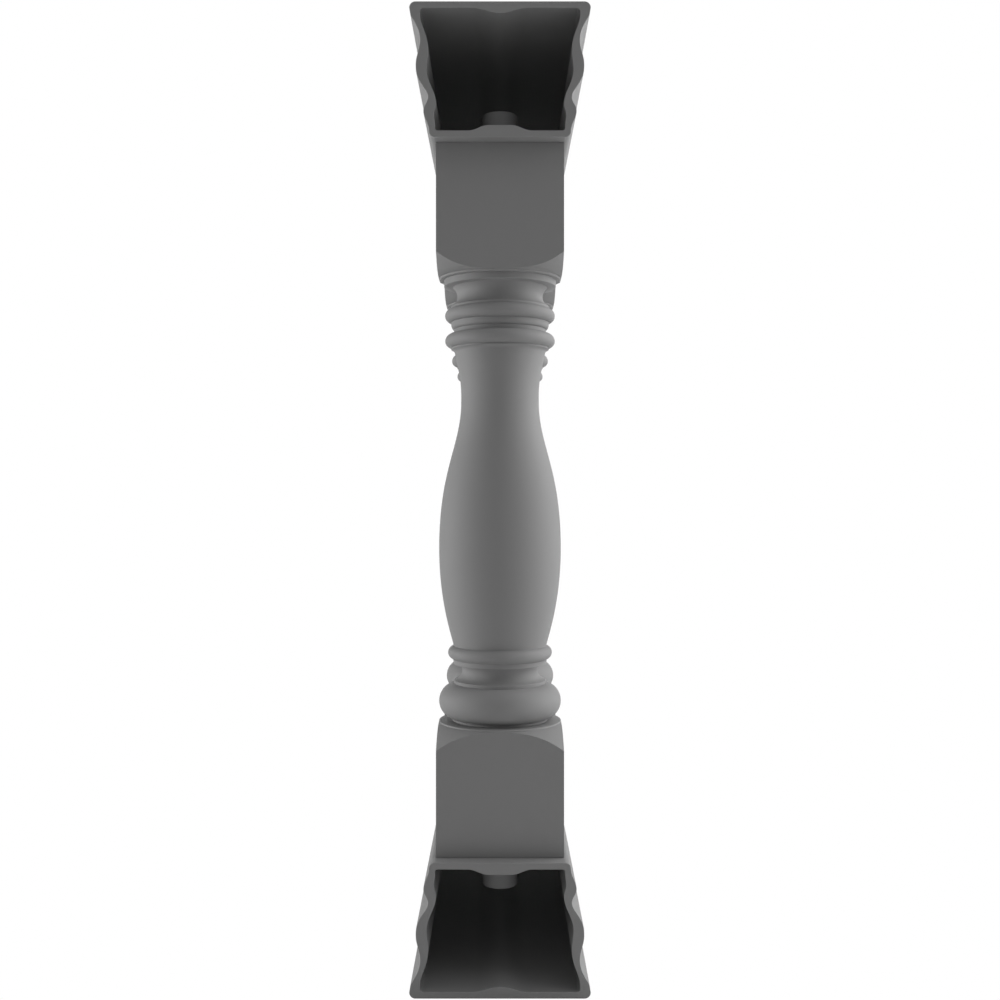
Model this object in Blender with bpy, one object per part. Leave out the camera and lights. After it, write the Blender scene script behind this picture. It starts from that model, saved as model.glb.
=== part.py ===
"""Balustrade run: two hollow moulded rails with a row of turned balusters between them.

Metres, +Z up. The rails run along Y. The run stands on the lower rail's crown, and the origin is under
its middle. Each baluster is a square post turned round between its two blocks. A round tenon beyond
either block passes through the web of a rail into the rail's hollow.
"""

import math

import bmesh
import bpy

# Run
BALUSTER_COUNT = 6
BALUSTER_HEIGHT = 0.7094
BLOCK_GAP = 0.053
RAIL_OVERHANG = 0.0172
SEAT_GAP = 0.0003

# Rail section
RAIL_WIDTH = 0.1774
RAIL_HEIGHT = 0.1324
SIDE_WALL = 0.0069
CROWN_WALL = 0.0064
CROWN_CORNER = 0.0060
CROWN_BOSS_RISE = 0.0050
CROWN_BOSS_WIDTH = 0.056
WEB_WALL = 0.0063
WEB_CORNER = 0.0050
WEB_BOSS_RISE = 0.0053
WEB_BOSS_WIDTH = 0.060
WEB_BOSS_FLAT = 0.023
INNER_CORNER = 0.0030

# Side moulding of a rail from the nose under the crown to the foot above the web, a row for each crest
# and hollow. Outside: depth below the crown as a share of the rail's height, half width as a share of
# the rail's, and how late the curve from the row above turns. Inside: the wall there as a share of the
# side wall, then the depth and the lateness again.
SIDE_MOULDING = (
    (0.077, 1.000, 1.00, 1.50, 0.097, 1.00),
    (0.285, 0.880, 0.70, 1.10, 0.352, 0.85),
    (0.464, 0.929, 1.00, 1.50, 0.505, 1.00),
    (0.706, 0.793, 1.45, 1.10, 0.752, 1.00),
    (0.807, 0.844, 1.00, 1.45, 0.835, 1.00),
    (0.958, 0.782, 1.00, 0.85, 0.918, 1.00),
)

# Blocks of a baluster, measured from the rail to the flat below or above the shoulder
BLOCK_SIDE = 0.127
UPPER_BLOCK = 0.1249
LOWER_BLOCK = 0.1245
UPPER_SHOULDER_RISE = 0.0170
LOWER_SHOULDER_RISE = 0.0188
UPPER_SHOULDER_SWELL = 0.0033
LOWER_SHOULDER_SWELL = 0.0022
SHOULDER_LIP = 0.0018
SHOULDER_EDGE = 0.0008
TURNING_ALLOWANCE = 0.0001

# Tenons
TENON_RADIUS = 0.018
TENON_LENGTH = 0.0456
TENON_CLEARANCE = 0.0003

# Heights of the turned members, from the upper block down. The vase takes what is left
UPPER_BAND_HEIGHT = 0.0065
UPPER_SCOTIA_HEIGHT = 0.0205
UPPER_LIP_HEIGHT = 0.0025
UPPER_TORUS_HEIGHT = 0.0142
FILLET_HEIGHT = 0.0113
SECOND_TORUS_HEIGHT = 0.0148
NECK_FILLET_HEIGHT = 0.0050
ASTRAGAL_HEIGHT = 0.0141
ASTRAGAL_FILLET_HEIGHT = 0.0049
LOWER_SCOTIA_HEIGHT = 0.0168
LOWER_LIP_HEIGHT = 0.0035
BASE_TORUS_HEIGHT = 0.0351
BASE_FILLET_HEIGHT = 0.0028

# Radii of the turned members
BAND_RADIUS = 0.0582
UPPER_SCOTIA_TOP = 0.0491
UPPER_SCOTIA_WAIST = 0.0444
NECKING_RADIUS = 0.0508
FILLET_FOOT_RADIUS = 0.0480
UPPER_TORUS_RADIUS = 0.0572
SECOND_TORUS_RADIUS = 0.0571
NECK_TOP_RADIUS = 0.0470
NECK_RADIUS = 0.0405
VASE_FOOT_RADIUS = 0.0485
ASTRAGAL_RADIUS = 0.0541
LOWER_SCOTIA_TOP = 0.0420
LOWER_SCOTIA_WAIST = 0.0393
LOWER_LIP_RADIUS = 0.0480
BASE_FILLET_RADIUS = 0.0495
BASE_TORUS_FOOT_ANGLE = -70

# Vase: where it is narrowest and widest as shares of its length from the top, and how late it swells
NECK_SHARE = 0.167
BELLY_SHARE = 0.673
BELLY_LATENESS = 0.8

# Facets round the turned work, and along each curve, gentle curve or straight stretch
TURNING_SIDES = 16
CURVE_STEPS = 3
GENTLE_STEPS = 2
STRAIGHT = 1
MERGE_DISTANCE = 0.00001
SHARP_ANGLE = math.radians(35)

BALUSTER_PITCH = BLOCK_SIDE + BLOCK_GAP
HALF_BLOCK = BLOCK_SIDE / 2
CORNER_RADIUS = HALF_BLOCK * math.sqrt(2)
BLANK_RADIUS = CORNER_RADIUS * 1.02
BELLY_RADIUS = HALF_BLOCK - TURNING_ALLOWANCE
BASE_TORUS_RADIUS = HALF_BLOCK - TURNING_ALLOWANCE
RAIL_LENGTH = (BALUSTER_COUNT - 1) * BALUSTER_PITCH + BLOCK_SIDE + 2 * RAIL_OVERHANG
RUN_HEIGHT = BALUSTER_HEIGHT + 2 * RAIL_HEIGHT


def clear_scene():
    for old in list(bpy.data.objects):
        bpy.data.objects.remove(old, do_unlink=True)


def cast_material(name):
    """Matte mid-grey casting compound."""
    material = bpy.data.materials.new(name)
    material.use_nodes = True
    shader = material.node_tree.nodes["Principled BSDF"]
    shader.inputs["Base Color"].default_value = (0.18, 0.18, 0.18, 1.0)
    shader.inputs["Roughness"].default_value = 0.75
    shader.inputs["Metallic"].default_value = 0.0
    return material


def link(name, mesh):
    made = bpy.data.objects.new(name, mesh)
    bpy.context.scene.collection.objects.link(made)
    return made


def object_from(name, bm):
    bmesh.ops.recalc_face_normals(bm, faces=bm.faces)
    mesh = bpy.data.meshes.new(name)
    bm.to_mesh(mesh)
    bm.free()
    return link(name, mesh)


def carved(made, cutters):
    """The mesh of an object after Booleans with (cutter, operation) pairs, which it uses up."""
    for cutter, operation in cutters:
        cutter.hide_render = True
        cutter.display_type = "WIRE"
        modifier = made.modifiers.new(cutter.name, "BOOLEAN")
        modifier.operation = operation
        modifier.object = cutter
    graph = bpy.context.evaluated_depsgraph_get()
    mesh = bpy.data.meshes.new_from_object(made.evaluated_get(graph))
    for used in [made] + [cutter for cutter, _ in cutters]:
        bpy.data.objects.remove(used, do_unlink=True)
    return mesh


def eased(share, lateness=1.0):
    """An S from 0 to 1, level at both ends. Lateness over 1 makes it turn later."""
    return (1 - math.cos(math.pi * share**lateness)) / 2


def quarter_round(x, depth, radius, start, steps):
    """Quarter circle about (x, depth), from the start angle on towards the web."""
    turns = [math.radians(start + 90 * i / steps) for i in range(steps + 1)]
    return [(x + radius * math.cos(turn), depth + radius * math.sin(turn)) for turn in turns]


def moulded_side(stations, steps):
    """Curve through (depth, half width, lateness) stations, as (x, depth)."""
    points = [(stations[0][1], stations[0][0])]
    for above, below in zip(stations, stations[1:]):
        for i in range(1, steps + 1):
            share = i / steps
            x = above[1] + (below[1] - above[1]) * eased(share, below[2])
            points.append((x, above[0] + (below[0] - above[0]) * share))
    return points


def boss(width, flat, rise, wall, steps):
    """Right half of the swelling along the middle of a wall, as (x, thickness) from its middle out."""
    points = []
    for i in range(steps + 1):
        share = i / steps
        points.append((flat / 2 + (width - flat) / 2 * share, wall + rise * (1 - eased(share))))
    return points


def outer_half():
    """Right half of the rail's outline as (x, depth), from the crown to the web."""
    half = RAIL_WIDTH / 2
    stations = [(row[0] * RAIL_HEIGHT, row[1] * half, row[2]) for row in SIDE_MOULDING]
    foot = stations[-1][1]
    round_nose = CROWN_CORNER
    round_foot = WEB_CORNER
    crown = quarter_round(half - round_nose, round_nose, round_nose, -90, GENTLE_STEPS)
    web = quarter_round(foot - round_foot, RAIL_HEIGHT - round_foot, round_foot, 0, GENTLE_STEPS)
    return crown[:-1] + moulded_side(stations, CURVE_STEPS) + web[1:]


def inner_half():
    """Right half of the hollow's outline as (x, depth), from the crown to the web."""
    half = RAIL_WIDTH / 2
    stations = [
        (row[4] * RAIL_HEIGHT, row[1] * half - row[3] * SIDE_WALL, row[5]) for row in SIDE_MOULDING
    ]
    nose = stations[0][1]
    foot = stations[-1][1]
    web_face = RAIL_HEIGHT - WEB_WALL
    corner = INNER_CORNER
    upper = quarter_round(nose - corner, CROWN_WALL + corner, corner, -90, STRAIGHT)
    lower = quarter_round(foot - corner, web_face - corner, corner, 0, STRAIGHT)
    crown_boss = boss(CROWN_BOSS_WIDTH, 0.0, CROWN_BOSS_RISE, CROWN_WALL, CURVE_STEPS)
    web_boss = boss(WEB_BOSS_WIDTH, WEB_BOSS_FLAT, WEB_BOSS_RISE, WEB_WALL, STRAIGHT)
    web = [(x, RAIL_HEIGHT - thickness) for x, thickness in reversed(web_boss)]
    return crown_boss + upper[:-1] + moulded_side(stations, STRAIGHT) + lower[1:] + web


def prism(name, half, length):
    """Solid along Y whose section is the half outline and its mirror image."""
    left = [(-x, depth) for x, depth in reversed(half) if x > 0]
    bm = bmesh.new()
    ring = [bm.verts.new((x, -length / 2, depth)) for x, depth in half + left]
    end = bm.faces.new(ring)
    grown = bmesh.ops.extrude_face_region(bm, geom=[end])
    moved = [item for item in grown["geom"] if isinstance(item, bmesh.types.BMVert)]
    bmesh.ops.translate(bm, verts=moved, vec=(0.0, length, 0.0))
    return object_from(name, bm)


def baluster_places():
    first = -(BALUSTER_COUNT - 1) * BALUSTER_PITCH / 2
    return [first + i * BALUSTER_PITCH for i in range(BALUSTER_COUNT)]


def tenon_drill():
    """Cutter for the row of tenon holes through a web."""
    bm = bmesh.new()
    for y in baluster_places():
        made = bmesh.ops.create_cone(
            bm,
            cap_ends=True,
            segments=TURNING_SIDES,
            radius1=TENON_RADIUS + TENON_CLEARANCE,
            radius2=TENON_RADIUS + TENON_CLEARANCE,
            depth=2 * TENON_LENGTH,
        )
        bmesh.ops.translate(bm, verts=made["verts"], vec=(0.0, y, RAIL_HEIGHT))
    return object_from("tenon_drill", bm)


def rail_mesh():
    """A rail with its crown on z = 0 and its web above."""
    rail = prism("rail", outer_half(), RAIL_LENGTH)
    hollow = prism("rail_hollow", inner_half(), RAIL_LENGTH + 2 * SIDE_WALL)
    return carved(rail, [(hollow, "DIFFERENCE"), (tenon_drill(), "DIFFERENCE")])


def fillet(radius, foot_radius=None):
    """Straight member, as (radius, share of its height). All the members below are given so."""
    return [(radius, 0.0), (foot_radius or radius, 1.0)]


def torus(top_root, crest, foot_root, foot_angle=-90):
    """Convex round, from its top root over the crest to the foot angle."""
    drop = 1 - math.sin(math.radians(foot_angle))
    points = []
    for i in range(CURVE_STEPS + 1):
        turn = math.radians(90 + (foot_angle - 90) * i / CURVE_STEPS)
        root = top_root if turn > 0 else foot_root
        points.append((root + (crest - root) * math.cos(turn), (1 - math.sin(turn)) / drop))
    return points


def scotia(top_edge, waist, foot_edge):
    """Hollow round."""
    return [(top_edge, 0.0), (waist, 0.5), (foot_edge, 1.0)]


def curve(top, foot, steps, shape):
    """Points from one (radius, share) to another, where shape gives the share of the change in radius."""
    points = []
    for i in range(steps + 1):
        share = i / steps
        points.append((top[0] + (foot[0] - top[0]) * shape(share), top[1] + (foot[1] - top[1]) * share))
    return points


def vase():
    """Flared neck, belly and taper to the foot."""
    neck = (NECK_RADIUS, NECK_SHARE)
    belly = (BELLY_RADIUS, BELLY_SHARE)
    flare = curve((NECK_TOP_RADIUS, 0.0), neck, GENTLE_STEPS, lambda share: 1 - (1 - share) ** 2)
    swell = curve(neck, belly, CURVE_STEPS, lambda share: eased(share, BELLY_LATENESS))
    taper = curve(belly, (VASE_FOOT_RADIUS, 1.0), GENTLE_STEPS, lambda share: share**2)
    return flare + swell + taper


def upper_members():
    """Members between the upper block and the vase, as (height, outline), from the top down."""
    return [
        (UPPER_BAND_HEIGHT, fillet(BAND_RADIUS)),
        (UPPER_SCOTIA_HEIGHT, scotia(UPPER_SCOTIA_TOP, UPPER_SCOTIA_WAIST, NECKING_RADIUS)),
        (UPPER_LIP_HEIGHT, fillet(NECKING_RADIUS)),
        (UPPER_TORUS_HEIGHT, torus(NECKING_RADIUS, UPPER_TORUS_RADIUS, NECKING_RADIUS)),
        (FILLET_HEIGHT, fillet(NECKING_RADIUS, FILLET_FOOT_RADIUS)),
        (SECOND_TORUS_HEIGHT, torus(FILLET_FOOT_RADIUS, SECOND_TORUS_RADIUS, NECKING_RADIUS)),
        (NECK_FILLET_HEIGHT, fillet(NECKING_RADIUS, NECK_TOP_RADIUS)),
    ]


def lower_members():
    """Members between the vase and the lower block, from the top down."""
    base = torus(LOWER_LIP_RADIUS, BASE_TORUS_RADIUS, LOWER_LIP_RADIUS, BASE_TORUS_FOOT_ANGLE)
    return [
        (ASTRAGAL_HEIGHT, torus(VASE_FOOT_RADIUS, ASTRAGAL_RADIUS, VASE_FOOT_RADIUS)),
        (ASTRAGAL_FILLET_HEIGHT, fillet(VASE_FOOT_RADIUS)),
        (LOWER_SCOTIA_HEIGHT, scotia(LOWER_SCOTIA_TOP, LOWER_SCOTIA_WAIST, LOWER_LIP_RADIUS)),
        (LOWER_LIP_HEIGHT, fillet(LOWER_LIP_RADIUS)),
        (BASE_TORUS_HEIGHT, base),
        (BASE_FILLET_HEIGHT, fillet(base[-1][0], BASE_FILLET_RADIUS)),
    ]


def stacked(top, members):
    """Members set one below another, as (radius, height)."""
    points = []
    for height, outline in members:
        points += [(radius, top - height * share) for radius, share in outline]
        top -= height
    return points


def shoulder(rise, swell):
    """Rounded shoulder as (radius, rise): from outside the block's corner to its lip beyond the flat."""
    reach = CORNER_RADIUS - HALF_BLOCK
    points = []
    for share in ((CORNER_RADIUS - BLANK_RADIUS) / reach, 0.5, 1.0):
        points.append((CORNER_RADIUS - reach * share, rise * (1 - share) - 4 * swell * share * (1 - share)))
    return points + [(HALF_BLOCK - SHOULDER_EDGE, -SHOULDER_LIP)]


def turned_profile():
    """Outline of a baluster in its round blank as (radius, height from its middle), from the top down."""
    half = BALUSTER_HEIGHT / 2
    end = half - SEAT_GAP
    tip = half + TENON_LENGTH
    upper_flat = half - UPPER_BLOCK
    lower_flat = LOWER_BLOCK - half
    upper_top = upper_flat - SHOULDER_LIP
    vase_top = upper_top - sum(height for height, _ in upper_members())
    vase_foot = lower_flat + SHOULDER_LIP + sum(height for height, _ in lower_members())
    lower_shoulder = shoulder(LOWER_SHOULDER_RISE, LOWER_SHOULDER_SWELL)
    points = [(0.0, tip), (TENON_RADIUS, tip), (TENON_RADIUS, end), (BLANK_RADIUS, end)]
    points += [(r, upper_flat + z) for r, z in shoulder(UPPER_SHOULDER_RISE, UPPER_SHOULDER_SWELL)]
    points += stacked(upper_top, upper_members())
    points += stacked(vase_top, [(vase_top - vase_foot, vase())])
    points += stacked(vase_foot, lower_members())
    points += [(r, lower_flat - z) for r, z in reversed(lower_shoulder)]
    points += [(BLANK_RADIUS, -end), (TENON_RADIUS, -end), (TENON_RADIUS, -tip), (0.0, -tip)]
    return points


def round_blank():
    """The turned form in a round blank wider than the square bar, centred on the origin."""
    bm = bmesh.new()
    chain = [bm.verts.new((radius, 0.0, height)) for radius, height in turned_profile()]
    edges = [bm.edges.new(pair) for pair in zip(chain, chain[1:])]
    bmesh.ops.spin(
        bm,
        geom=chain + edges,
        cent=(0.0, 0.0, 0.0),
        axis=(0.0, 0.0, 1.0),
        angle=math.tau,
        steps=TURNING_SIDES,
    )
    bmesh.ops.remove_doubles(bm, verts=bm.verts, dist=MERGE_DISTANCE)
    return object_from("round_blank", bm)


def baluster_mesh():
    """What the square bar and the turned form have in common: blocks, turned work and tenons."""
    bm = bmesh.new()
    bmesh.ops.create_cube(bm, size=1.0)
    bar_length = BALUSTER_HEIGHT + 4 * TENON_LENGTH
    bmesh.ops.scale(bm, verts=bm.verts, vec=(BLOCK_SIDE, BLOCK_SIDE, bar_length))
    return carved(object_from("square_bar", bm), [(round_blank(), "INTERSECT")])


def finished(mesh, material):
    mesh.materials.clear()
    mesh.materials.append(material)
    mesh.shade_smooth()
    mesh.set_sharp_from_angle(angle=SHARP_ANGLE)
    return mesh


def main():
    clear_scene()
    run = link("balustrade", None)
    rail = finished(rail_mesh(), cast_material("rail_grey"))
    baluster = finished(baluster_mesh(), cast_material("baluster_grey"))
    bottom_rail = link("bottom_rail", rail)
    bottom_rail.parent = run
    top_rail = link("top_rail", rail)
    top_rail.parent = run
    top_rail.location.z = RUN_HEIGHT
    top_rail.rotation_euler.y = math.pi
    for number, y in enumerate(baluster_places(), start=1):
        piece = link(f"baluster_{number}", baluster)
        piece.parent = run
        piece.location = (0.0, y, RUN_HEIGHT / 2)


main()
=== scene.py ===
"""Balustrade run with its finish: two hollow moulded rails and the turned balusters pegged between them.

Metres, +Z up. The rails run along Y, and the end that the camera looks at is at -Y.
"""

import math

import bmesh
import bpy
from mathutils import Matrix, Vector
from mathutils.geometry import interpolate_bezier


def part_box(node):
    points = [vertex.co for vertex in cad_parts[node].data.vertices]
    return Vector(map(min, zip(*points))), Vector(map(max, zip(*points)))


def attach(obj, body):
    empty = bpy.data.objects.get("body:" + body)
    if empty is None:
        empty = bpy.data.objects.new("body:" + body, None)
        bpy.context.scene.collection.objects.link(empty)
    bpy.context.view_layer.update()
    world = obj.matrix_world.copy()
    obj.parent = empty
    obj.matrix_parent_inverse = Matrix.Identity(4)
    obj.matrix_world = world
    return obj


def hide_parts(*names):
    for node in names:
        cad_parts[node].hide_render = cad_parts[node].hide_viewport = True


bl_info = {
    "name": "Balustrade run",
    "version": (1, 0, 0),
    "blender": (4, 5, 0),
    "location": "3D View > Sidebar > Balustrade",
    "description": "Models a run of turned balusters between two hollow moulded rails",
    "category": "Add Mesh",
}

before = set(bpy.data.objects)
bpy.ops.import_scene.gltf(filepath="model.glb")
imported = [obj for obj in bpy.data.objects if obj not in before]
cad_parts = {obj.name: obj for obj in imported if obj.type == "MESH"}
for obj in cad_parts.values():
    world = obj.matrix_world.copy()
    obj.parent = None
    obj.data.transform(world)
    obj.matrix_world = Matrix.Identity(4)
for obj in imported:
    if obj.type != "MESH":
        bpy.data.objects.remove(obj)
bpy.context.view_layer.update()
BODY = "root"
MM = 0.001

# Places read from the frame
BALUSTER_NODES = sorted(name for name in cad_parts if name.startswith("baluster_"))
RAIL_LOW, RAIL_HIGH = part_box("bottom_rail")
TOP_RAIL_LOW, TOP_RAIL_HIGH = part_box("top_rail")
BALUSTER_LOW, BALUSTER_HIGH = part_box(BALUSTER_NODES[0])
RAIL_LENGTH = RAIL_HIGH.y - RAIL_LOW.y
RAIL_HEIGHT = RAIL_HIGH.z
RAIL_WIDTH = RAIL_HIGH.x - RAIL_LOW.x
MID_HEIGHT = (RAIL_LOW.z + TOP_RAIL_HIGH.z) / 2
HALF_BETWEEN_RAILS = (TOP_RAIL_LOW.z - RAIL_HIGH.z) / 2
SEAT_GAP = 0.3 * MM

SMOOTH_ANGLE = math.radians(25)
MERGE_DISTANCE = 0.005 * MM

# Finish
CLOUD_WIDTH = 90 * MM
GRAIN_DEPTH = 0.05 * MM

# Stage
FLOOR_RADIUS = 12.0
LIGHT_SIZE = 1.5
LIGHT_DISTANCE = 3.0


class RailSettings(bpy.types.PropertyGroup):
    """Walls of a rail. Its outer size comes from the frame."""

    crown_wall: bpy.props.FloatProperty(
        name="Crown wall", description="Wall under the wide flat crown", default=6.4 * MM, unit="LENGTH"
    )
    web_wall: bpy.props.FloatProperty(
        name="Web wall", description="Wall that the balusters seat on", default=6.3 * MM, unit="LENGTH"
    )
    tenon_clearance: bpy.props.FloatProperty(
        name="Tenon clearance", description="Gap round a tenon in its hole", default=0.3 * MM, unit="LENGTH"
    )
    end_edge: bpy.props.FloatProperty(
        name="End edge", description="Rounding of the cut end's edges", default=0.35 * MM, unit="LENGTH"
    )


class BalusterSettings(bpy.types.PropertyGroup):
    """Driving sizes of a baluster. Its block comes from the frame."""

    neck_radius: bpy.props.FloatProperty(
        name="Neck radius", description="Radius of the vase at its narrowest", default=40.45 * MM, unit="LENGTH"
    )
    belly_radius: bpy.props.FloatProperty(
        name="Belly radius", description="Radius of the vase at its widest", default=63.4 * MM, unit="LENGTH"
    )
    tenon_radius: bpy.props.FloatProperty(
        name="Tenon radius", description="Radius of the round tenons", default=18.0 * MM, unit="LENGTH"
    )
    block_edge: bpy.props.FloatProperty(
        name="Block edge", description="Chamfer of the block's upright edges", default=0.5 * MM, unit="LENGTH"
    )
    facets: bpy.props.IntProperty(
        name="Facets", description="Faces round the turned work", default=96, min=16, max=256
    )


class FinishSettings(bpy.types.PropertyGroup):
    """Matte cast compound, coloured through."""

    colour: bpy.props.FloatVectorProperty(
        name="Colour", description="Colour of the compound", subtype="COLOR", size=3, default=(0.18, 0.18, 0.18)
    )
    mottle: bpy.props.FloatProperty(
        name="Mottle", description="Share by which the colour clouds", default=0.012, min=0.0, max=1.0
    )
    roughness: bpy.props.FloatProperty(
        name="Roughness", description="Roughness of the cast skin", default=0.7, min=0.0, max=1.0
    )
    grain: bpy.props.FloatProperty(
        name="Grain", description="Width of one grain of filler", default=0.8 * MM, unit="LENGTH"
    )


class StageSettings(bpy.types.PropertyGroup):
    """Camera, lights and floor."""

    camera_distance: bpy.props.FloatProperty(
        name="Camera distance", description="From the near end of the rails", default=1.1788, unit="LENGTH"
    )
    lens: bpy.props.FloatProperty(name="Lens", description="Focal length in millimetres", default=43.456)
    sky: bpy.props.FloatProperty(name="Sky", description="Light from all round", default=0.436)


def deselect_all():
    if bpy.context.mode != "OBJECT":
        bpy.ops.object.mode_set(mode="OBJECT")
    bpy.ops.object.select_all(action="DESELECT")


def select_only(piece):
    deselect_all()
    piece.select_set(True)
    bpy.context.view_layer.objects.active = piece


def leave_edit_mode(name):
    bpy.ops.object.mode_set(mode="OBJECT")
    piece = bpy.context.object
    piece.name = name
    piece.data.name = name
    return piece


def draw_chain(points):
    """Leaves edit mode on a new mesh: a vertex at the first point, extruded on to each of the next."""
    deselect_all()
    bpy.ops.mesh.primitive_plane_add(size=MM)
    bpy.ops.object.mode_set(mode="EDIT")
    bpy.ops.mesh.merge(type="CENTER")
    bpy.ops.transform.translate(value=points[0])
    for start, end in zip(points, points[1:]):
        bpy.ops.mesh.extrude_region_move(TRANSFORM_OT_translate={"value": end - start})


def make_solid():
    """Merges doubles and turns the faces outwards, in edit mode."""
    bpy.ops.mesh.select_all(action="SELECT")
    bpy.ops.mesh.remove_doubles(threshold=MERGE_DISTANCE)
    bpy.ops.mesh.normals_make_consistent(inside=False)


def apply_boolean(piece, cutter, operation):
    """Cuts the piece with the cutter, which it uses up."""
    select_only(piece)
    modifier = piece.modifiers.new(operation.lower(), "BOOLEAN")
    modifier.operation = operation
    modifier.object = cutter
    bpy.ops.object.modifier_apply(modifier=modifier.name)
    bpy.data.objects.remove(cutter, do_unlink=True)


def select_edges(piece, wanted):
    """Selects the edges of the piece in edit mode whose two ends pass the test."""
    mesh = bmesh.from_edit_mesh(piece.data)
    for edge in mesh.edges:
        edge.select = wanted(*(vertex.co for vertex in edge.verts))
    bmesh.update_edit_mesh(piece.data)


def copy_of(piece, name):
    select_only(piece)
    bpy.ops.object.duplicate()
    copy = bpy.context.object
    copy.name = name
    copy.data.name = name
    return copy


def place(piece, offset=(0.0, 0.0, 0.0), turn=0.0):
    """Turns the piece about the middle of the run's height, moves it, and keeps both in its mesh."""
    select_only(piece)
    piece.location = Vector(offset)
    piece.rotation_euler.y = turn
    bpy.ops.object.transform_apply(location=True, rotation=True, scale=True)


def dress(piece, node, material):
    """Finishes a piece and lets it stand for its CAD node."""
    select_only(piece)
    bpy.ops.object.shade_smooth_by_angle(angle=SMOOTH_ANGLE)
    piece.data.materials.clear()
    piece.data.materials.append(material)
    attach(piece, BODY)
    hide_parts(node)


class Link:
    """An output socket. Arithmetic on it adds Math nodes to its tree."""

    def __init__(self, shader, socket):
        self.shader = shader
        self.socket = socket

    def math(self, operation, first, second):
        return self.shader.node("ShaderNodeMath", {"operation": operation}, {0: first, 1: second})

    def __add__(self, other):
        return self.math("ADD", self, other)

    def __radd__(self, other):
        return self.math("ADD", other, self)

    def __sub__(self, other):
        return self.math("SUBTRACT", self, other)

    def __rsub__(self, other):
        return self.math("SUBTRACT", other, self)

    def __mul__(self, other):
        return self.math("MULTIPLY", self, other)

    def __rmul__(self, other):
        return self.math("MULTIPLY", other, self)


class Shader:
    """The node tree of a material or world, emptied and built anew."""

    def __init__(self, owner):
        owner.use_nodes = True
        self.tree = owner.node_tree
        self.tree.nodes.clear()

    def node(self, kind, settings=None, sockets=None, output=0):
        """Adds a node, sets it, fills its sockets with values or links, and gives one of its outputs."""
        made = self.tree.nodes.new(kind)
        for name, value in (settings or {}).items():
            setattr(made, name, value)
        for name, value in (sockets or {}).items():
            if isinstance(value, Link):
                self.tree.links.new(value.socket, made.inputs[name])
            else:
                made.inputs[name].default_value = value
        return Link(self, made.outputs[output]) if made.outputs else None


def noise(shader, position, width, detail):
    """Noise about 0.5 whose clouds are about as wide as that."""
    return shader.node(
        "ShaderNodeTexNoise",
        sockets={"Vector": position, "Scale": 1 / width, "Detail": detail, "Roughness": 0.5},
    )


def cast_material(name, finish):
    """Matte cast compound: faint clouds in its colour, and a fine grain in its skin."""
    material = bpy.data.materials.new(name)
    shader = Shader(material)
    position = shader.node("ShaderNodeTexCoord", output="Object")
    clouds = noise(shader, position, CLOUD_WIDTH, 3.0)
    specks = noise(shader, position, 2 * finish.grain, 1.0)
    grain = noise(shader, position, finish.grain, 2.0)
    share = finish.mottle
    dark = [channel * (1 - share) for channel in finish.colour] + [1.0]
    light = [channel * (1 + share) for channel in finish.colour] + [1.0]
    colour = shader.node(
        "ShaderNodeMix",
        {"data_type": "RGBA"},
        {0: 0.7 * clouds + 0.3 * specks, 6: dark, 7: light},
        output=2,
    )
    bump = shader.node(
        "ShaderNodeBump",
        sockets={"Strength": 0.1, "Distance": GRAIN_DEPTH, "Height": grain},
    )
    surface = shader.node(
        "ShaderNodeBsdfPrincipled",
        sockets={
            "Base Color": colour,
            "Roughness": finish.roughness + 0.06 * (grain - 0.5),
            "Specular IOR Level": 0.3,
            "Normal": bump,
        },
    )
    shader.node("ShaderNodeOutputMaterial", sockets={"Surface": surface})
    return material


class Pen:
    """Draws the right half of an outline, in millimetres, as (distance from the axis, height)."""

    def __init__(self, out, height):
        self.points = [(out, height)]

    def line(self, out, height):
        self.points.append((out, height))

    def arc(self, centre, radii, start, end, steps):
        """Elliptical arc in degrees, 0 pointing outwards and 90 upwards."""
        for i in range(steps + 1):
            turn = math.radians(start + (end - start) * i / steps)
            out = centre[0] + radii[0] * math.cos(turn)
            self.points.append((out, centre[1] + radii[1] * math.sin(turn)))

    def bezier(self, first_handle, second_handle, end, steps):
        """Curve from the pen's place to the end, with its two handles given as steps from their ends."""
        start = Vector((*self.points[-1], 0.0))
        end = Vector((*end, 0.0))
        handles = (start + Vector((*first_handle, 0.0)), end + Vector((*second_handle, 0.0)))
        drawn = interpolate_bezier(start, handles[0], handles[1], end, steps + 1)
        self.points += [(point.x, point.y) for point in drawn[1:]]


# Points along a shoulder, and the turning blank's radius as a share of the block's corner radius
SHOULDER_STEPS = 16
BLANK_SHARE = 1.05

# How far the block's flat ends and the base torus stay inside its sides, and a tenon's chamfer, in mm
FLAT_INSET = 0.05
BASE_INSET = 0.1
TENON_EDGE = 1.0


def shoulder(half_block, rise, swell, steps):
    """The turned shoulder from just past the block's corner in to its flat, as (radius, rise), in mm."""
    corner = half_block * math.sqrt(2)
    reach = corner - half_block
    points = []
    for i in range(-2, steps + 1):
        share = i / steps
        points.append((corner - reach * share, rise * (1 - share) - 4 * swell * share * (1 - share)))
    return points


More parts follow.
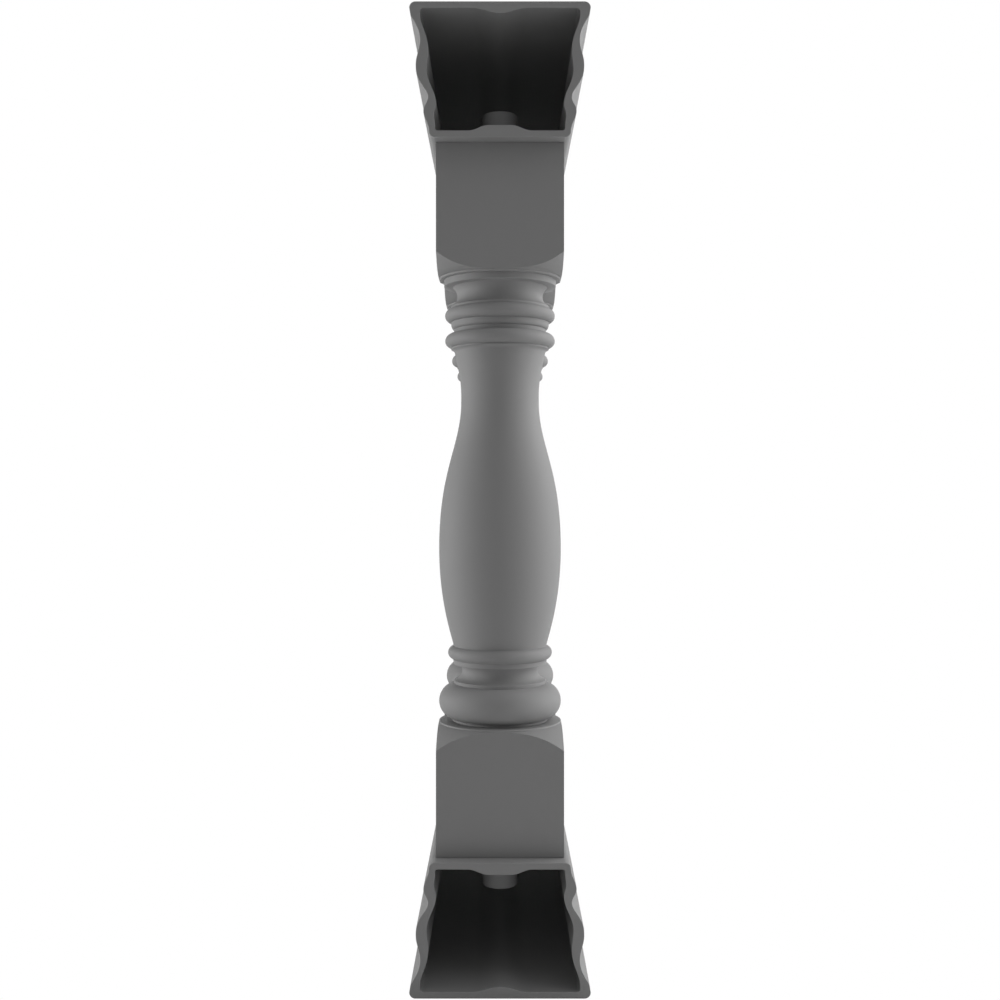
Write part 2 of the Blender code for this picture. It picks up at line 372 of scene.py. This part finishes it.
def turned_outline(settings):
    """Outline of a baluster before its blocks are squared, from the upper tenon down, in mm."""
    half_block = (BALUSTER_HIGH.x - BALUSTER_LOW.x) / 2 / MM
    blank = half_block * math.sqrt(2) * BLANK_SHARE
    tenon = settings.tenon_radius / MM
    neck = settings.neck_radius / MM
    belly = settings.belly_radius / MM
    end = (HALF_BETWEEN_RAILS - SEAT_GAP) / MM
    tip = (BALUSTER_HIGH.z - MID_HEIGHT) / MM
    flat = half_block - FLAT_INSET
    pen = Pen(0.0, tip)
    pen.line(tenon - TENON_EDGE, tip)
    pen.line(tenon, tip - TENON_EDGE)
    pen.line(tenon, end)
    pen.line(blank, end)
    # Upper shoulder and the lip below it
    for radius, rise in shoulder(half_block, 17.0, 3.3, SHOULDER_STEPS):
        pen.line(radius, 229.8 + rise)
    pen.arc((flat - 1.6, 229.6), (1.6, 1.6), -10, -90, 5)
    # Band
    pen.line(58.4, 228.0)
    pen.line(58.2, 227.8)
    pen.line(58.2, 222.0)
    pen.arc((57.7, 221.9), (0.5, 0.5), 0, -90, 2)
    # Scotia and its lip
    pen.arc((56.3, 211.4), (11.9, 11.9), 127, 239, 12)
    pen.arc((50.6, 200.4), (0.7, 0.7), 80, 0, 2)
    pen.line(51.3, 198.9)
    # Upper torus, tapering fillet and second torus
    pen.arc((50.1, 191.4), (7.1, 7.1), 80, -84, 14)
    pen.line(50.9, 183.9)
    pen.arc((47.9, 183.2), (3.0, 6.0), 0, -80, 6)
    pen.line(47.9, 177.0)
    pen.line(47.9, 173.1)
    pen.arc((48.95, 164.9), (8.2, 8.0), 86, 0, 8)
    pen.arc((48.95, 164.9), (8.2, 6.8), -11, -78, 6)
    pen.line(50.8, 157.9)
    pen.line(50.8, 156.5)
    pen.arc((51.6, 152.1), (4.6, 4.2), 120, 165, 4)
    # Vase
    pen.line(47.0, 152.7)
    pen.bezier((-4.0, -20.0), (0.0, 20.0), (neck, 106.0), 12)
    pen.line(neck, 103.0)
    pen.bezier((0.0, -47.0), (0.0, 84.0), (belly, -50.0), 30)
    pen.bezier((0.0, -55.0), (2.5, 11.0), (48.4, -150.8), 22)
    # Astragal and fillet
    pen.arc((46.7, -158.3), (7.4, 7.1), 76, -72, 12)
    pen.line(48.6, -165.6)
    pen.line(48.6, -169.8)
    pen.line(48.3, -170.2)
    # Scotia and its lip
    pen.arc((49.04, -177.0), (9.74, 9.74), 136, 255, 14)
    pen.line(47.4, -186.6)
    pen.line(48.0, -187.2)
    pen.line(48.0, -190.2)
    # Base torus and the fillet that it rolls in to
    base_centre = 45.4
    base = half_block - BASE_INSET - base_centre
    pen.arc((base_centre, -208.4), (base, base + 0.3), 82, -70, 24)
    pen.line(49.7, -226.0)
    pen.line(49.5, -226.2)
    pen.line(49.5, -228.5)
    # Rim of the block's flat top and lower shoulder
    pen.arc((flat - 0.9, -229.4), (0.9, 0.9), 90, 0, 4)
    for radius, rise in reversed(shoulder(half_block, 18.8, 2.2, SHOULDER_STEPS)):
        pen.line(radius, -230.2 - rise)
    pen.line(blank, -end)
    pen.line(tenon, -end)
    pen.line(tenon, TENON_EDGE - tip)
    pen.line(tenon - TENON_EDGE, -tip)
    pen.line(0.0, -tip)
    return pen.points


def square_bar(settings):
    """The blocks' square section over the whole length, with its upright edges taken off."""
    deselect_all()
    bpy.ops.mesh.primitive_cube_add(size=1.0, location=(0.0, 0.0, MID_HEIGHT))
    side = BALUSTER_HIGH.x - BALUSTER_LOW.x
    bpy.ops.object.mode_set(mode="EDIT")
    length = 2 * (BALUSTER_HIGH.z - BALUSTER_LOW.z)
    bpy.ops.transform.resize(value=(side, side, length), center_override=(0.0, 0.0, MID_HEIGHT))
    bar = bpy.context.object
    select_edges(bar, lambda start, end: abs(start.z - end.z) > length / 2)
    bpy.ops.mesh.bevel(offset=settings.block_edge, segments=1)
    bar = leave_edit_mode("square_bar")
    place(bar, bar.location)
    return bar


def turned_post(settings):
    """The turned form, spun round the post's axis."""
    outline = [Vector((out * MM, 0.0, MID_HEIGHT + height * MM)) for out, height in turned_outline(settings)]
    draw_chain(outline)
    bpy.ops.mesh.select_all(action="SELECT")
    bpy.ops.mesh.spin(steps=settings.facets, angle=math.tau, center=(0.0, 0.0, 0.0), axis=(0.0, 0.0, 1.0))
    make_solid()
    return leave_edit_mode("turned_post")


class BALUSTRADE_OT_balusters(bpy.types.Operator):
    """Turns one baluster from its square post and copies it along the run"""

    bl_idname = "balustrade.balusters"
    bl_label = "Balusters"

    def execute(self, context):
        settings = context.scene.balustrade_baluster
        material = cast_material("baluster_compound", context.scene.balustrade_finish)
        first = square_bar(settings)
        apply_boolean(first, turned_post(settings), "INTERSECT")
        for node in BALUSTER_NODES:
            low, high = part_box(node)
            piece = copy_of(first, f"turned_{node}")
            place(piece, ((low.x + high.x) / 2, (low.y + high.y) / 2, 0.0))
            dress(piece, node, material)
        bpy.data.objects.remove(first, do_unlink=True)
        return {"FINISHED"}


def s_curve(share, lateness):
    """An S from 0 to 1, level at both ends. Lateness over 1 makes it turn later."""
    return (1 - math.cos(math.pi * share**lateness)) / 2


def waves(pen, stations, steps):
    """Carries the pen down a moulded side through (depth, half width, lateness) crests and hollows."""
    for above, below in zip(stations, stations[1:]):
        for i in range(1, steps + 1):
            share = i / steps
            out = above[1] + (below[1] - above[1]) * s_curve(share, below[2])
            pen.line(out, above[0] + (below[0] - above[0]) * share)


# Points drawn from one crest or hollow of a rail's side to the next
SIDE_STEPS = 9

# The crests and hollows themselves, outside and inside, as (depth below the crown in mm, half width in mm,
# lateness of the turn on to the next)
OUTER_SIDE = (
    (10.2, 88.7, 1.0),
    (37.7, 78.1, 0.70),
    (61.5, 82.35, 1.0),
    (93.5, 70.35, 1.45),
    (106.8, 74.9, 1.0),
    (126.9, 69.35, 1.0),
)
INNER_SIDE = (
    (12.8, 78.5, 1.0),
    (46.6, 70.2, 0.85),
    (66.9, 71.8, 1.0),
    (99.6, 62.5, 1.0),
    (110.6, 64.7, 1.0),
    (121.5, 63.6, 1.0),
)


def outer_outline():
    """Right half of a rail's outline as (half width, depth below the crown), from the crown's middle."""
    nose = 6.0
    corner = 5.0
    height = RAIL_HEIGHT / MM
    half = RAIL_WIDTH / 2 / MM
    foot = OUTER_SIDE[-1][1]
    pen = Pen(0.0, 0.0)
    pen.line(half - nose - 0.5, 0.0)
    pen.arc((half - nose, nose), (nose, nose), -90, 0, 8)
    waves(pen, OUTER_SIDE, SIDE_STEPS)
    pen.arc((foot - corner, height - corner), (corner, corner), 0, 90, 6)
    pen.line(foot - corner - 0.5, height)
    pen.line(0.0, height)
    return pen.points


def inner_outline(settings):
    """Right half of a rail's hollow, from the crown's middle."""
    upper_corner = 3.5
    lower_corner = 2.5
    # Swellings along the middle of the crown and the web: height, half width, and width of the web's slope
    crown_rise = 5.0
    crown_reach = 28.0
    web_rise = 5.3
    web_reach = 31.0
    web_slope = 19.5
    swell_steps = 8
    crown = settings.crown_wall / MM
    web = RAIL_HEIGHT / MM - settings.web_wall / MM
    nose = INNER_SIDE[0][1]
    foot = INNER_SIDE[-1][1]
    pen = Pen(0.0, crown + crown_rise)
    for i in range(1, swell_steps + 1):
        pen.line(crown_reach * i / swell_steps, crown + crown_rise * (1 - s_curve(i / swell_steps, 1.0)))
    pen.line(nose - upper_corner, crown)
    pen.arc((nose - upper_corner, crown + upper_corner), (upper_corner, upper_corner), -90, 0, 5)
    waves(pen, INNER_SIDE, SIDE_STEPS)
    pen.arc((foot - lower_corner, web - lower_corner), (lower_corner, lower_corner), 0, 90, 5)
    for i in range(swell_steps + 1):
        pen.line(web_reach - web_slope * i / swell_steps, web - web_rise * s_curve(i / swell_steps, 1.0))
    pen.line(0.0, web - web_rise)
    return pen.points


def both_halves(points):
    """The half outline and its mirror image as one loop, with the points on the axis used once."""
    return points + [(-out, depth) for out, depth in reversed(points) if out > 0]


def moulded_bar(name, half_outline, length):
    """Solid bar along Y with that section, crown down on z = 0."""
    loop = [Vector((out * MM, -length / 2, depth * MM)) for out, depth in both_halves(half_outline)]
    draw_chain(loop)
    bpy.ops.mesh.select_all(action="SELECT")
    bpy.ops.mesh.remove_doubles(threshold=MERGE_DISTANCE)
    bpy.ops.mesh.edge_face_add()
    bpy.ops.mesh.extrude_region_move(TRANSFORM_OT_translate={"value": (0.0, length, 0.0)})
    make_solid()
    return leave_edit_mode(name)


def tenon_drill(radius):
    """Cylinders where the tenons pass through the web."""
    deselect_all()
    drills = []
    for node in BALUSTER_NODES:
        low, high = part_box(node)
        bpy.ops.mesh.primitive_cylinder_add(
            vertices=64, radius=radius, depth=RAIL_HEIGHT / 2, location=(0.0, (low.y + high.y) / 2, RAIL_HEIGHT)
        )
        drills.append(bpy.context.object)
    for drill in drills:
        drill.select_set(True)
    bpy.ops.object.join()
    return bpy.context.object


def soften_ends(rail, width):
    """Takes the sharpness off the two cut ends."""
    select_only(rail)
    bpy.ops.object.mode_set(mode="EDIT")
    at_end = RAIL_LENGTH / 2 - MM
    select_edges(rail, lambda start, end: min(abs(start.y), abs(end.y)) > at_end and start.y * end.y > 0)
    bpy.ops.mesh.bevel(offset=width, segments=1, clamp_overlap=True)
    bpy.ops.object.mode_set(mode="OBJECT")


class BALUSTRADE_OT_rails(bpy.types.Operator):
    """Models the lower rail with its hollow and tenon holes, and turns a copy over for the upper rail"""

    bl_idname = "balustrade.rails"
    bl_label = "Rails"

    def execute(self, context):
        settings = context.scene.balustrade_rail
        baluster = context.scene.balustrade_baluster
        material = cast_material("rail_compound", context.scene.balustrade_finish)
        lower = moulded_bar("moulded_bottom_rail", outer_outline(), RAIL_LENGTH)
        hollow = moulded_bar("hollow", inner_outline(settings), 1.1 * RAIL_LENGTH)
        apply_boolean(lower, hollow, "DIFFERENCE")
        soften_ends(lower, settings.end_edge)
        apply_boolean(lower, tenon_drill(baluster.tenon_radius + settings.tenon_clearance), "DIFFERENCE")
        upper = copy_of(lower, "moulded_top_rail")
        place(upper, (0.0, 0.0, TOP_RAIL_HIGH.z), math.pi)
        dress(lower, "bottom_rail", material)
        dress(upper, "top_rail", material)
        return {"FINISHED"}


def white_surface(name):
    """Plain pale surface, evenly white to the camera."""
    material = bpy.data.materials.new(name)
    shader = Shader(material)
    camera_ray = shader.node("ShaderNodeLightPath", output="Is Camera Ray")
    matte = shader.node("ShaderNodeBsdfDiffuse", sockets={"Color": (0.8, 0.8, 0.8, 1.0)})
    even = shader.node("ShaderNodeEmission", sockets={"Strength": 1.0})
    mixed = shader.node("ShaderNodeMixShader", sockets={0: camera_ray, 1: matte, 2: even})
    shader.node("ShaderNodeOutputMaterial", sockets={"Surface": mixed})
    return material


def make_floor():
    deselect_all()
    bpy.ops.mesh.primitive_circle_add(vertices=96, radius=FLOOR_RADIUS, fill_type="NGON")
    floor = bpy.context.object
    floor.name = "floor"
    floor.data.materials.append(white_surface("pale_floor"))


def make_world(sky):
    """White to the camera and a soft light from all round to everything else."""
    world = bpy.data.worlds.new("studio")
    bpy.context.scene.world = world
    shader = Shader(world)
    camera_ray = shader.node("ShaderNodeLightPath", output="Is Camera Ray")
    strength = camera_ray + (1 - camera_ray) * sky
    background = shader.node(
        "ShaderNodeBackground",
        sockets={"Color": (1.0, 1.0, 1.0, 1.0), "Strength": strength},
    )
    shader.node("ShaderNodeOutputWorld", sockets={"Surface": background})


# Soft lights round the run: bearing from the camera's side, height angle and power in watts
LIGHTS = (
    (-90, 0, 92.0),
    (90, 0, 60.4),
    (180, 0, 36.6),
    (90, 30, 36.0),
    (120, 30, 28.9),
    (60, 30, 10.6),
    (30, 60, 8.9),
)


def make_light(bearing, rise, power):
    """Square soft light round the middle of the run, aimed at it."""
    data = bpy.data.lights.new(f"light_{bearing}_{rise}", "AREA")
    data.shape = "SQUARE"
    data.size = LIGHT_SIZE
    data.energy = power
    light = bpy.data.objects.new(data.name, data)
    bpy.context.scene.collection.objects.link(light)
    turn, lift = math.radians(bearing), math.radians(rise)
    away = Vector((math.sin(turn) * math.cos(lift), -math.cos(turn) * math.cos(lift), math.sin(lift)))
    light.location = Vector((0.0, 0.0, MID_HEIGHT)) + LIGHT_DISTANCE * away
    light.rotation_euler = (-away).to_track_quat("-Z", "Y").to_euler()


class BALUSTRADE_OT_stage(bpy.types.Operator):
    """Sets up the pale floor, the soft lights and the camera"""

    bl_idname = "balustrade.stage"
    bl_label = "Stage"

    def execute(self, context):
        settings = context.scene.balustrade_stage
        make_floor()
        make_world(settings.sky)
        for bearing, rise, power in LIGHTS:
            make_light(bearing, rise, power)
        near = RAIL_LOW.y - settings.camera_distance
        lens = bpy.data.cameras.new("camera")
        lens.lens = settings.lens
        lens.sensor_width = 36.0
        camera = bpy.data.objects.new("camera", lens)
        context.scene.collection.objects.link(camera)
        camera.location = (0.0, near, MID_HEIGHT)
        camera.rotation_euler = (math.pi / 2, 0.0, 0.0)
        context.scene.camera = camera
        context.scene.view_settings.view_transform = "Standard"
        return {"FINISHED"}


class BALUSTRADE_PT_panel(bpy.types.Panel):
    """Sizes, colours and steps of the balustrade run"""

    bl_idname = "BALUSTRADE_PT_panel"
    bl_label = "Balustrade"
    bl_space_type = "VIEW_3D"
    bl_region_type = "UI"
    bl_category = "Balustrade"

    def draw(self, context):
        for group, settings in SETTINGS.items():
            box = self.layout.box()
            values = getattr(context.scene, group)
            for name in settings.__annotations__:
                box.prop(values, name)
        for step in STEPS:
            self.layout.operator(step.bl_idname)


SETTINGS = {
    "balustrade_rail": RailSettings,
    "balustrade_baluster": BalusterSettings,
    "balustrade_finish": FinishSettings,
    "balustrade_stage": StageSettings,
}
STEPS = (BALUSTRADE_OT_rails, BALUSTRADE_OT_balusters, BALUSTRADE_OT_stage)
CLASSES = (*SETTINGS.values(), *STEPS, BALUSTRADE_PT_panel)


def register():
    for kind in CLASSES:
        bpy.utils.register_class(kind)
    for group, settings in SETTINGS.items():
        setattr(bpy.types.Scene, group, bpy.props.PointerProperty(type=settings))


def unregister():
    for group in SETTINGS:
        delattr(bpy.types.Scene, group)
    for kind in reversed(CLASSES):
        bpy.utils.unregister_class(kind)


def main():
    register()
    bpy.ops.balustrade.rails()
    bpy.ops.balustrade.balusters()
    bpy.ops.balustrade.stage()


if __name__ == "__main__":
    main()
